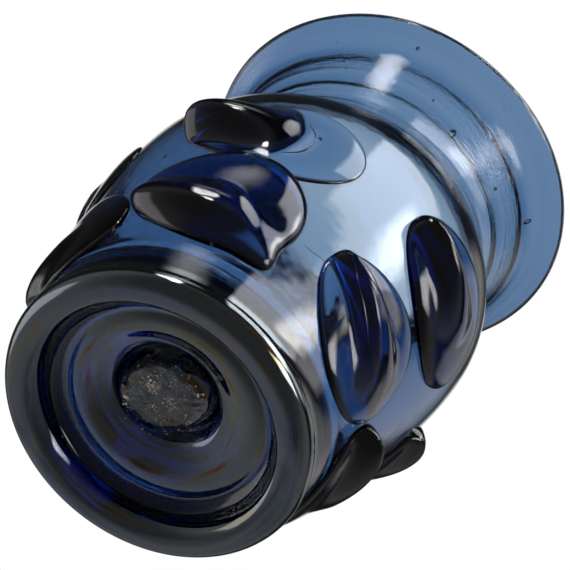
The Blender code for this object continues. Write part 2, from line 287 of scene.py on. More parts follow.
class BeakerSizes(bpy.types.PropertyGroup):
    """Sizes of the turned wall, the foot ring, the base and the prunts."""

    ring_radius: length("Ring radius", 0.0233, "Radius of the middle of the foot ring")
    ring_half_width: length("Ring half width", 0.0035, "Half the width of the foot ring")
    ring_half_height: length("Ring half height", 0.0027, "Half the height of the foot ring")
    ring_flat: length("Ring flat", 0.0012, "Width of the worn line that the ring rests on")
    heel_step: length("Heel step", 0.0019, "Height of the heel above the ring's shoulder")
    heel_outset: length("Heel outset", 0.0029, "How far the heel stands outside the ring's middle")
    belly_radius: length("Belly radius", 0.0330, "Outer radius at the widest level")
    shoulder_rise: length("Shoulder rise", 0.0247, "From the belly up to the neck")
    neck_radius: length("Neck radius", 0.0248, "Outer radius at the neck")
    collar_rise: length("Collar rise", 0.0110, "From the neck up to where the lip turns out")
    collar_radius: length("Collar radius", 0.0279, "Outer radius where the lip turns out")
    lip_height: length("Lip height", 0.0888, "Height of the lip, which the lower levels hang from")
    lip_rise: length("Lip rise", 0.0050, "From the collar up to the lip")
    lip_radius: length("Lip radius", 0.0323, "Outer radius of the lip")
    lean: length("Lean", 0.0058, "How far the lip stands to one side of the foot")
    heel_wall: length("Heel wall", 0.0017, "Wall thickness at the heel")
    belly_wall: length("Belly wall", 0.0010, "Wall thickness at the belly")
    neck_wall: length("Neck wall", 0.0016, "Wall thickness at the neck")
    lip_wall: length("Lip wall", 0.0020, "Wall thickness at the lip")
    upper_row: length("Upper row", 0.0430, "Height of the upper row of prunts")
    lower_row: length("Lower row", 0.0225, "Height of the lower row of prunts")
    prunt_length: length("Prunt length", 0.0290, "Length of a prunt round the wall")
    prunt_width: length("Prunt width", 0.0190, "Width of a prunt up the wall")
    pad_height: length("Pad height", 0.0017, "How thick a prunt's pad is")
    tongue_rise: length("Tongue rise", 0.0040, "How far a tongue stands off its pad")
    tongue_reach: length("Tongue reach", 0.0024, "How far a tongue reaches past its root")


class BeakerGlass(bpy.types.PropertyGroup):
    """Finish of the glass and of the soil on it."""

    tint: FloatVectorProperty(
        name="Tint", subtype="COLOR", size=3, min=0.0, max=1.0, default=(0.14, 0.42, 0.67),
        description="Colour that the glass lets through",
    )
    strength: FloatProperty(name="Tint strength", default=1100.0, description="Absorption per metre")
    bend: FloatProperty(name="Refractive index", default=1.5, description="How much the glass bends light")
    haze: FloatProperty(
        name="Haze", default=0.03, min=0.0, max=1.0, description="Roughness of the clean glass",
    )
    soil: FloatVectorProperty(
        name="Soil", subtype="COLOR", size=3, min=0.0, max=1.0, default=(0.42, 0.31, 0.17),
        description="Colour of the burial soil left in the hollows",
    )
    dust: FloatVectorProperty(
        name="Dust", subtype="COLOR", size=3, min=0.0, max=1.0, default=(0.76, 0.68, 0.64),
        description="Colour of the paler grains in the soil",
    )
    seed: IntProperty(name="Scatter", default=7, description="Starts the scatter of seeds and soil")


def blend(start, end, share):
    """The value a share of the way from start to end."""
    return start + (end - start) * share


def ease(share):
    """Smooth step: 0 below 0, 1 above 1, level at both ends."""
    share = np.clip(share, 0.0, 1.0)
    return share * share * (3.0 - 2.0 * share)


def cubic(at, low, high):
    """Cubic through two stations (place, value, slope), meeting their slopes."""
    span = high[0] - low[0]
    t = (at - low[0]) / span
    rise = (2 * t**3 - 3 * t**2 + 1) * low[1] + (3 * t**2 - 2 * t**3) * high[1]
    return rise + ((t**3 - 2 * t**2 + t) * low[2] + (t**3 - t**2) * high[2]) * span


class Form:
    """The turned form worked out from the sizes, as whole arrays of (radius, height) points."""

    HEEL_SLOPE = 0.12
    COLLAR_SLOPE = 0.32
    LIP_SLOPE = 1.15
    SHOULDER_FULLNESS = 1.57
    RING_TOP_TURN = 42.0
    GROOVE_INSET, GROOVE_HEIGHT, GROOVE_LIP = 0.0038, 0.0068, 0.0018
    KICK_HEIGHT, DIMPLE_RADIUS, DIMPLE_RISE, DIMPLE_DEPTH = 0.0055, 0.0094, 0.0011, 0.0030
    SCAR_RADIUS, SCAR_FACE_RADIUS, SCAR_SHOULDER, SCAR_RISE = 0.0062, 0.0053, 0.0028, 0.0040
    SCAR_CROWN = 0.0003
    SCAR_STRETCH, SCAR_TURN = 0.35, math.radians(-47.0)
    DRIFT = (-0.0012, -0.0003)
    FLOOR_THICKNESS, FLOOR_SAG, FLOOR_CORNER = 0.0090, 0.0096, 0.0036
    FILLET, CUSHION = 0.0006, 1.1

    def __init__(self, sizes):
        """Levels and radii that follow from the sizes, and the foot's centre from the solid."""
        self.sizes = sizes
        turn = math.radians(self.RING_TOP_TURN)
        self.ring_top = sizes.ring_half_height * (1.0 + math.sin(turn))
        self.heel_radius = sizes.ring_radius + sizes.heel_outset
        self.heel = self.ring_top + sizes.heel_step
        self.lip = sizes.lip_height
        self.collar = self.lip - sizes.lip_rise
        self.neck = self.collar - sizes.collar_rise
        self.belly = self.neck - sizes.shoulder_rise
        self.groove_radius = sizes.ring_radius - self.GROOVE_INSET
        self.kick_radius = self.groove_radius - self.GROOVE_LIP
        self.dimple_edge = self.KICK_HEIGHT + self.DIMPLE_RISE
        self.dimple_top = self.dimple_edge + self.DIMPLE_DEPTH
        self.floor_middle = self.dimple_top + self.FLOOR_THICKNESS
        self.floor_edge = self.floor_middle - self.FLOOR_SAG
        corners = np.array([v.co[:] for v in CAD_GLASS.data.vertices])
        foot = corners[corners[:, 2] < 0.0002]
        self.foot = (foot.min(0) + foot.max(0)) / 2

    def outer(self, height):
        """Outer radius: heel to belly, shoulder, neck to collar and lip, each a smooth curve."""
        s = self.sizes
        heel = (self.heel, self.heel_radius, self.HEEL_SLOPE)
        belly = (self.belly, s.belly_radius, 0.0)
        neck = (self.neck, s.neck_radius, 0.0)
        collar = (self.collar, s.collar_radius, self.COLLAR_SLOPE)
        lip = (self.lip, s.lip_radius, self.LIP_SLOPE)
        share = np.clip((height - self.belly) / s.shoulder_rise, 0.0, 1.0)
        shoulder = blend(s.belly_radius, s.neck_radius, ease(share**self.SHOULDER_FULLNESS))
        upper = np.where(height < self.collar, cubic(height, neck, collar), cubic(height, collar, lip))
        upper = np.where(height < self.neck, shoulder, upper)
        return np.where(height < self.belly, cubic(height, heel, belly), upper)

    def wall(self, height):
        """Wall thickness: eased from heel to belly, then even steps to the neck and the lip."""
        s = self.sizes
        low = blend(s.heel_wall, s.belly_wall, ease((height - self.heel) / (self.belly - self.heel)))
        middle = blend(s.belly_wall, s.neck_wall, (height - self.belly) / s.shoulder_rise)
        high = blend(s.neck_wall, s.lip_wall, (height - self.neck) / (self.lip - self.neck))
        return np.where(height < self.belly, low, np.where(height < self.neck, middle, high))

    def outward(self, height):
        """Outward unit normal of the outer wall, as radial and upright parts."""
        step = 0.0001
        slope = (self.outer(height + step) - self.outer(height - step)) / (2 * step)
        size = np.hypot(1.0, slope)
        return 1.0 / size, -slope / size

    def heights(self):
        """Levels of the wall's rows: open on the body, close together from the neck to the lip."""
        body = np.arange(self.heel, self.neck - BODY_STEP / 2, BODY_STEP)
        count = int((self.lip - self.neck) / FINE_STEP)
        return np.concatenate([body, np.linspace(self.neck, self.lip, count)])

    def inner_points(self):
        """Inside of the floor, its rounded corner, and the wall one thickness inside the outer face."""
        s = self.sizes
        edge = self.heel_radius - s.heel_wall - self.FLOOR_CORNER
        share = np.linspace(0.0, 1.0, ARC_STEPS)
        floor = np.stack([edge * share, blend(self.floor_middle, self.floor_edge, ease(share))], 1)
        heights = self.heights()
        radial, upright = self.outward(heights)
        wall = self.wall(heights)
        side = np.stack([self.outer(heights) - wall * radial, heights - wall * upright], 1)
        side = side[side[:, 1] > self.floor_edge + self.FLOOR_CORNER]
        turn = np.linspace(0.0, 1.0, ARC_STEPS)[1:-1, None]
        pull = np.array([side[0, 0], floor[-1, 1]])
        corner = (1 - turn) ** 2 * floor[-1] + 2 * turn * (1 - turn) * pull + turn**2 * side[0]
        return np.concatenate([floor, corner, side])

    def rim_points(self):
        """Half circle over the edge of the lip, from the inner to the outer face."""
        radial, upright = self.outward(np.array([self.lip]))
        half = self.sizes.lip_wall / 2
        facing = math.atan2(upright[0], radial[0])
        turns = facing + np.linspace(math.pi, 0.0, ARC_STEPS)[1:-1]
        centre = np.array([self.sizes.lip_radius - half * radial[0], self.lip - half * upright[0]])
        return centre + half * np.stack([np.cos(turns), np.sin(turns)], 1)

    def outer_points(self):
        """Outside of the wall, from the lip down to the heel."""
        heights = self.heights()[::-1]
        return np.stack([self.outer(heights), heights], 1)

    def foot_points(self):
        """Ring from its shoulder over the flat to the groove, then kick, dimple and scar."""
        s = self.sizes
        bulge = s.ring_half_width - s.ring_flat / 2
        turns = np.radians(np.linspace(self.RING_TOP_TURN, -90.0, 2 * ARC_STEPS))
        ring = np.stack([
            s.ring_radius + s.ring_flat / 2 + bulge * np.cos(turns),
            s.ring_half_height * (1.0 + np.sin(turns)),
        ], 1)
        turns = np.radians(np.linspace(0.0, 90.0, SOFT_STEPS))
        inner_edge = s.ring_radius - s.ring_flat / 2
        inside = np.stack([
            inner_edge - (inner_edge - self.groove_radius) * np.sin(turns),
            self.GROOVE_HEIGHT * (1.0 - np.cos(turns)),
        ], 1)
        share = np.linspace(0.0, 0.92, SOFT_STEPS)
        rise = ease(share) ** 2 - self.CUSHION * np.sin(math.pi * share) * (1.0 - share)
        kick = np.stack([
            blend(self.kick_radius, self.DIMPLE_RADIUS, share),
            blend(self.KICK_HEIGHT, self.dimple_edge, rise),
        ], 1)
        scar = np.array([
            (self.DIMPLE_RADIUS - self.FILLET, blend(self.dimple_edge, self.dimple_top, 0.4)),
            (self.DIMPLE_RADIUS - 2 * self.FILLET, blend(self.dimple_edge, self.dimple_top, 0.9)),
            ((self.DIMPLE_RADIUS + self.SCAR_RADIUS) / 2, self.dimple_top),
            (self.SCAR_RADIUS, self.dimple_top - self.SCAR_SHOULDER),
            (self.SCAR_FACE_RADIUS, self.dimple_top - self.SCAR_RISE),
            (0.0, self.dimple_top - self.SCAR_RISE - self.SCAR_CROWN),
        ])
        soft = cut_corners(np.concatenate([inside[:-2], kick, scar]))
        face = np.linspace(0.0, 1.0, SCAR_ROWS)[1:, None]
        return np.concatenate([ring, soft[:-1], soft[-2] + face * (soft[-1] - soft[-2])])

    def profile(self):
        """The whole outline, from the middle of the inner floor round to the middle of the scar."""
        parts = (self.inner_points(), self.rim_points(), self.outer_points(), self.foot_points())
        return np.concatenate(parts)

    def lean(self, points):
        """Points moved sideways with their height, and to the foot's centre."""
        shift = self.sizes.lean * points[..., 2] / self.lip
        return points + np.stack([shift + self.foot[0], np.full_like(shift, self.foot[1]), 0 * shift], -1)

    def on_wall(self, azimuth, height, lift):
        """Points on the outer wall at azimuths in radians and heights, lifted off square to it."""
        radial, upright = self.outward(height)
        reach = self.outer(height) + waves(azimuth, height) + lift * radial
        points = np.stack([reach * np.cos(azimuth), reach * np.sin(azimuth), height + lift * upright], -1)
        return self.lean(points)


def waves(azimuth, height):
    """Unevenness of the wall: a sum of slow waves round and up it."""
    total = np.zeros(np.broadcast(azimuth, height).shape)
    for around, along, phase, amount in WAVES:
        total += amount * np.sin(around * azimuth + along * height + phase)
    return total


def cut_corners(points):
    """The outline with each corner cut at a quarter of its sides, a few times over; ends stay."""
    for _ in range(CORNER_CUTS):
        near = 0.75 * points[:-1] + 0.25 * points[1:]
        far = 0.25 * points[:-1] + 0.75 * points[1:]
        inner = np.stack([near, far], 1).reshape(-1, 2)[1:-1]
        points = np.concatenate([points[:1], inner, points[-1:]])
    return points


def full_turn(count):
    """Directions round the axis in even steps, clockwise seen from above."""
    return np.linspace(2 * math.pi, 0.0, count, endpoint=False)


def closed_faces(rows, columns, start=0):
    """Faces of a closed surface: quads between its rings, then a fan of triangles at each pole."""
    here = start + np.arange(rows * columns).reshape(rows, columns)
    beside = np.roll(here, -1, 1)
    sides = np.stack([here[:-1], beside[:-1], beside[1:], here[1:]], -1).reshape(-1, 4)
    first = np.full(columns, start + rows * columns)
    caps = np.stack([first, beside[0], here[0]], -1)
    ends = np.stack([first + 1, here[-1], beside[-1]], -1)
    return sides.tolist() + caps.tolist() + ends.tolist()


def closed_mesh(name, grid, top, bottom):
    """A closed surface from a grid of rings (rows, columns, 3) and its two pole points."""
    corners = np.concatenate([grid.reshape(-1, 3), [top, bottom]])
    mesh = bpy.data.meshes.new(name)
    mesh.from_pydata(corners.tolist(), [], closed_faces(*grid.shape[:2]))
    mesh.update()
    return mesh


def crumple(points):
    """Unevenness of broken glass: a sum of waves in several directions across the plan."""
    total = np.zeros(points.shape[:-1])
    for turn, per_metre, phase, amount in CRUMPLES:
        along = points[..., 0] * math.cos(turn) + points[..., 1] * math.sin(turn)
        total += amount * np.sin(per_metre * along + phase)
    return total


def under_floor(form, points):
    """Points with the underside's middle moved off the axis, and its scar drawn out and broken."""
    radius = np.hypot(points[..., 0], points[..., 1])
    below = points[..., 2] < (form.dimple_top + form.floor_middle) / 2
    share = below * (1.0 - ease((radius - form.DIMPLE_RADIUS) / (form.kick_radius - form.DIMPLE_RADIUS)))
    edge = (radius - form.SCAR_RADIUS) / (form.DIMPLE_RADIUS - form.SCAR_RADIUS)
    drawn = below * form.SCAR_STRETCH * (1.0 - ease(edge))
    long_way = np.array([math.cos(form.SCAR_TURN), math.sin(form.SCAR_TURN)])
    moved = points.copy()
    moved[..., :2] += share[..., None] * form.DRIFT
    moved[..., :2] += (drawn * (points[..., :2] @ long_way))[..., None] * long_way
    moved[..., 2] += below * crumple(points) * ease((form.SCAR_RADIUS - radius) / CRUMPLE_FADE)
    return moved


def lip_ripples(azimuth, height):
    """Rings and thicker bands round the inside of the lip, as a change of its inner radius."""
    total = np.zeros(np.broadcast(azimuth, height).shape)
    for around, per_metre, phase, amount in RIPPLES:
        total += amount * np.sin(around * azimuth + per_metre * height + phase)
    total *= ease((height - RIPPLES_START) / RIPPLES_FADE)
    sway = BAND_SWAY * np.sin(azimuth + BAND_TURN)
    for middle, half_width, depth in BANDS:
        total -= depth * np.exp(-(((height + sway - middle) / half_width) ** 2))
    return total


def vessel_mesh(form):
    """The profile carried round the axis, with soft waves, the leaning wall and the underside's middle."""
    outline = form.profile()
    azimuth = full_turn(TURNS)
    radius, height = outline[1:-1, 0, None], outline[1:-1, 1, None]
    inside = (np.arange(len(outline) - 2) < len(form.inner_points()))[:, None]
    above_ring = ease((height - form.ring_top) / form.sizes.heel_step)
    on_side = above_ring * ease((radius - form.kick_radius) / WAVES_FADE)
    wide = radius + waves(azimuth, height) * on_side + inside * lip_ripples(azimuth, height)
    grid = np.stack([wide * np.cos(azimuth), wide * np.sin(azimuth), height + 0 * azimuth], -1)
    poles = np.array([[0.0, 0.0, outline[0, 1]], [0.0, 0.0, outline[-1, 1]]])
    grid, poles = (form.lean(under_floor(form, points)) for points in (grid, poles))
    return closed_mesh("vessel", grid, poles[0], poles[1])


def tongue_height(prunt, x, y):
    """Share of the tongue's rise over the pad's unit disc.

    Along the pad the tongue starts with a step at its round nose and then eases up to the nipped end.
    Across it is a flat crown with soft shoulders, as wide as a line between its tip and nose widths.
    """
    s = np.clip((prunt.nose - x) / (prunt.nose + 1.0), 0.0, 1.0)
    nose = ease(s / NOSE_ROUND) ** NOSE_POWER
    half = blend(prunt.swell, prunt.tip, s) * (NOSE_WIDTH + (1.0 - NOSE_WIDTH) * nose)
    across = np.abs(y - prunt.side - prunt.crest * s * (prunt.nose + 1.0)) / half
    crown = ease((1.0 - across) / prunt.soft)
    return crown * nose * (prunt.step + (1.0 - prunt.step) * ease(s * TONGUE_LEAD))


def prunt_points(form, prunt, x, y, z):
    """Points of a prunt for points of a unit ball: pad and tongue above the wall, a shallow root below.

    x runs along the prunt from its nipped end, y up the wall and z off it. The pad's edge is drawn out
    round one direction for the tail, the pad narrows to the nipped end, and the tongue reaches past it.
    """
    s = form.sizes
    drawn = 1.0 + prunt.tail * np.exp(-(((np.degrees(np.arctan2(y, x)) - TAIL_TURN) / TAIL_SPREAD) ** 2))
    narrowing = 1.0 - prunt.taper * ease((TAPER_START - x) / TAPER_RUN)
    share = np.where(z > 0, tongue_height(prunt, x, y), 0.0)
    along = x * drawn * prunt.length * s.prunt_length / 2 - s.tongue_reach * (share * z) ** 2
    up = y * drawn * prunt.width * s.prunt_width / 2 * narrowing
    tilt = math.radians(prunt.tilt)
    row = s.upper_row if prunt.row == "upper" else s.lower_row
    level = row + prunt.up * s.prunt_width + along * math.sin(tilt) + up * math.cos(tilt)
    across = along * math.cos(tilt) - up * math.sin(tilt)
    edge = np.abs(z) ** prunt.edge
    above = (prunt.pad * s.pad_height + prunt.rise * s.tongue_rise * share) * edge
    lift = np.where(z > 0, above, -ROOT_DEPTH * form.wall(level) * edge)
    return form.on_wall(math.radians(prunt.azimuth) + across / form.outer(level), level, lift)


def prunt_mesh(form, name, prunt):
    """A prunt as rings from the top of its pad, over its edge, to the middle of its root."""
    columns, rows = int(PRUNT_COLUMNS * prunt.detail), int(PRUNT_ROWS * prunt.detail)
    over = np.linspace(0.0, math.pi / 2, rows, endpoint=False)[1:]
    under = np.linspace(math.pi / 2, math.pi, ROOT_ROWS)[:-1]
    polar = np.concatenate([[0.0], over, under, [math.pi]])[:, None]
    around = full_turn(columns)[None]
    x, y = np.sin(polar) * np.cos(around), np.sin(polar) * np.sin(around)
    points = prunt_points(form, prunt, x, y, np.cos(polar) + 0 * around)
    return closed_mesh(name, points[1:-1], points[0, 0], points[-1, 0])


def smooth_path(points, count):
    """A curve through the points, each step a cubic whose slopes come from the points on both sides."""
    points = np.asarray(points, dtype=float)
    slopes = np.gradient(points, axis=0)
    place = np.linspace(0.0, len(points) - 1.0, count)
    first = np.minimum(place.astype(int), len(points) - 2)
    t = (place - first)[:, None]
    start, end = points[first], points[first + 1]
    rise = (2 * t**3 - 3 * t**2 + 1) * start + (3 * t**2 - 2 * t**3) * end
    return rise + (t**3 - 2 * t**2 + t) * slopes[first] + (t**3 - t**2) * slopes[first + 1]


def thread_mesh(name, path, radius, foot):
    """A thread of glass along a path on the wall, thickest in its middle and drawn to points."""
    along = np.gradient(path, axis=0)
    along /= np.linalg.norm(along, axis=1, keepdims=True)
    outward = path - np.array([foot[0], foot[1], 0.0])
    outward[:, 2] = 0.0
    side = np.cross(outward, along)
    side /= np.linalg.norm(side, axis=1, keepdims=True)
    lift = np.cross(along, side)
    share = np.linspace(0.0, 1.0, len(path))[:, None, None]
    wide = radius * np.sin(math.pi * share) ** 0.5
    turns = full_turn(THREAD_COLUMNS)[None, :, None]
    grid = path[:, None] + wide * (np.cos(turns) * lift[:, None] + np.sin(turns) * side[:, None])
    return closed_mesh(name, grid[1:-1], path[0], path[-1])


def fold_meshes(form):
    """Creases of the prunts, as threads half sunk in them, and the hair of glass on the wall."""
    meshes = []
    for name, radius, points in FOLDS:
        spot = smooth_path(points, FOLD_STEPS)
        rise = np.sqrt(np.maximum(1.0 - spot[:, 0] ** 2 - spot[:, 1] ** 2, 0.0))
        path = prunt_points(form, PRUNTS[name], spot[:, 0], spot[:, 1], rise)
        meshes.append(thread_mesh("fold", path, radius, form.foot))
    for radius, points in HAIRS:
        spot = smooth_path(points, HAIR_STEPS)
        path = form.on_wall(np.radians(spot[:, 0]), spot[:, 1] / 1000, np.zeros(len(spot)))
        meshes.append(thread_mesh("hair", path, radius, form.foot))
    return meshes


def scattered_seeds(rng, placed):
    """The placed seeds and the stray ones between them, each clear of those before it."""
    seeds = list(placed)
    for _ in range(STRAY_TRIES):
        if len(seeds) == len(placed) + STRAY_SEEDS:
            break
        azimuth = rng.uniform(-math.pi, math.pi)
        height = rng.choice([rng.uniform(*STRAY_ON_BODY), rng.uniform(*STRAY_ON_LIP)])
        wide, tall, deep = rng.uniform(*STRAY_SEED_SIZE, 3)
        gap = [math.hypot((azimuth - seed[0]) * STRAY_RADIUS, height - seed[1]) for seed in seeds]
        if min(gap) > STRAY_GAP:
            seeds.append((azimuth, height, wide, tall, deep))
    return seeds


def seed_mesh(form, seeds):
    """Bubbles sealed in the wall: small ellipsoids whose faces look into the air that they hold."""
    polar = np.linspace(0.0, math.pi, SEED_ROWS + 2)[1:-1, None]
    around = full_turn(SEED_COLUMNS)[None]
    east, out = np.sin(polar) * np.cos(around), np.sin(polar) * np.sin(around)
    north = np.cos(polar) + 0 * around
    corners, faces = [], []
    for index, (azimuth, height, wide, tall, deep) in enumerate(seeds):
        thick = float(form.wall(np.array(height)))
        deep = min(deep, SEED_DEPTH_LIMIT * thick)
        turn = azimuth + east * wide / 2 / form.outer(np.array(height))
        grid = form.on_wall(turn, height + north * tall / 2, out * deep / 2 - thick / 2)
        ends = height + np.array([tall, -tall]) / 2
        poles = form.on_wall(np.full(2, azimuth), ends, np.full(2, -thick / 2))
        corners += [grid.reshape(-1, 3), poles]
        faces += closed_faces(SEED_ROWS, SEED_COLUMNS, index * (SEED_ROWS * SEED_COLUMNS + 2))
    mesh = bpy.data.meshes.new("seeds")
    mesh.from_pydata(np.concatenate(corners).tolist(), [], faces)
    return mesh


def soil_spots(form, rng):
    """Where soil is left, as points and grain sizes: along the groove, on the scar and beside prunts."""
    spots = []
    for low, high, count in SOIL_ARCS:
        for _ in range(count):
            turn = math.radians(rng.uniform(low, high))
            radius = form.groove_radius + rng.normal(SOIL_OFF_GROOVE, SOIL_SPREAD)
            level = form.GROOVE_HEIGHT - SOIL_SINK
            place = np.array([radius * math.cos(turn), radius * math.sin(turn), level])
            spots.append((form.lean(place), rng.uniform(*GROOVE_GRAIN)))
    face = form.dimple_top - form.SCAR_RISE - form.SCAR_CROWN / 2
    for x, y, spread, largest, count in SOIL_PATCHES:
        for _ in range(count):
            place = np.array([x / 1000 + rng.normal(0, spread), y / 1000 + rng.normal(0, spread), face])
            spots.append((form.lean(place), rng.uniform(SMALLEST_GRAIN, largest)))
    for azimuth, height, size in SOIL_SPECKS:
        place = form.on_wall(np.array(math.radians(azimuth)), np.array(height / 1000), np.array(size / 4))
        spots.append((place, size))
    return spots


def soil_mesh(form, rng):
    """Grains of soil: small balls flattened and dented at random, all in one mesh."""
    ball = bmesh.new()
    bmesh.ops.create_icosphere(ball, subdivisions=1, radius=1.0)
    corners = np.array([vertex.co[:] for vertex in ball.verts])
    faces = np.array([[vertex.index for vertex in face.verts] for face in ball.faces])
    ball.free()
    grains, sides = [], []
    for place, size in soil_spots(form, rng):
        directions = rng.normal(0.0, DENT_WAVES, (3, 3))
        swirl = np.sin(corners @ directions + rng.uniform(0, 6.3, 3)).sum(1)
        dents = 1.0 + DENT_DEPTH * swirl / DENT_SCALE
        stretch = rng.uniform(*GRAIN_STRETCH, 3) * GRAIN_FLATNESS
        sides.append(faces + len(grains) * len(corners))
        grains.append(place + size * corners * dents[:, None] * stretch)
    mesh = bpy.data.meshes.new("soil")
    mesh.from_pydata(np.concatenate(grains).tolist(), [], np.concatenate(sides).tolist())
    mesh.shade_smooth()
    return mesh


def soil_material(look):
    """Dry earth: mottled from dark to pale, rough and grainy."""
    material, tree, shader = new_material("soil")
    place = tree.add("ShaderNodeTexCoord").outputs["Object"]
    mottle = tree.ramp(tree.noise(place, 1400.0, 4.0), 0.35, 0.65)
    shades = tree.add(
        "ShaderNodeMix", {0: mottle, 6: (*look.soil, 1.0), 7: (*look.dust, 1.0)}, data_type="RGBA"
    )
    tree.links.new(shades.outputs[2], shader.inputs["Base Color"])
    shader.inputs["Roughness"].default_value = 0.9
    grain = tree.add("ShaderNodeBump", {"Height": tree.noise(place, 6000.0, 3.0), "Distance": 0.00003})
    tree.links.new(grain.outputs["Normal"], shader.inputs["Normal"])
    return material


def put(name, mesh, collection=None):
    """An object for the mesh, linked to a collection or to the scene's own."""
    item = bpy.data.objects.new(name, mesh)
    (collection or bpy.context.scene.collection).objects.link(item)
    return item


def melt_together(meshes, vessel):
    """The vessel with every prunt united with it, as one mesh."""
    helpers = bpy.data.collections.new("melting")
    bpy.context.scene.collection.children.link(helpers)
    blobs = [put(mesh.name, mesh, helpers) for mesh in meshes]
    body = put("vessel", vessel)
    union = body.modifiers.new("melt", "BOOLEAN")
    union.operation = "UNION"
    union.solver = "EXACT"
    union.operand_type = "COLLECTION"
    union.collection = helpers
    graph = bpy.context.evaluated_depsgraph_get()
    melted = bpy.data.meshes.new_from_object(body.evaluated_get(graph))
    for item in [body, *blobs]:
        bpy.data.objects.remove(item, do_unlink=True)
    bpy.data.collections.remove(helpers)
    return melted


def new_material(name):
    """A material, its node tree and its shader."""
    material = bpy.data.materials.new(name)
    material.use_nodes = True
    tree = Nodes(material.node_tree)
    return material, tree, tree.nodes["Principled BSDF"]


class Nodes:
    """Short hand for building a node tree."""

    def __init__(self, tree):
        self.nodes, self.links = tree.nodes, tree.links

    def add(self, kind, inputs=(), **settings):
        """A node of the kind, with its settings, and its inputs given as values or as sockets."""
        node = self.nodes.new(kind)
        for name, value in settings.items():
            setattr(node, name, value)
        for name, value in dict(inputs).items():
            if isinstance(value, bpy.types.NodeSocket):
                self.links.new(value, node.inputs[name])
            else:
                node.inputs[name].default_value = value
        return node

    def math(self, operation, *values):
        """The result of a Math node on values or sockets."""
        return self.add("ShaderNodeMath", enumerate(values), operation=operation).outputs[0]

    def times(self, first, second):
        """The product of two values or sockets."""
        return self.math("MULTIPLY", first, second)

    def size(self, parts):
        """The length of the vector with these two sockets as its parts."""
        return self.math("SQRT", self.math("ADD", *[self.times(part, part) for part in parts]))

    def dot(self, vector, axis):
        """The part of a vector socket that lies along an axis."""
        inputs = {0: vector, 1: tuple(axis)}
        return self.add("ShaderNodeVectorMath", inputs, operation="DOT_PRODUCT").outputs["Value"]

    def ramp(self, value, low, high, start=0.0, end=1.0):
        """A smooth step of the value, from start at low to end at high."""
        inputs = {"Value": value, "From Min": low, "From Max": high, "To Min": start, "To Max": end}
        return self.add("ShaderNodeMapRange", inputs, interpolation_type="SMOOTHSTEP").outputs["Result"]

    def noise(self, vector, scale, detail=3.0, roughness=0.55):
        """Plain noise over a vector, from about 0.25 to 0.75."""
        inputs = {"Vector": vector, "Scale": scale, "Detail": detail, "Roughness": roughness}
        return self.add("ShaderNodeTexNoise", inputs).outputs["Fac"]


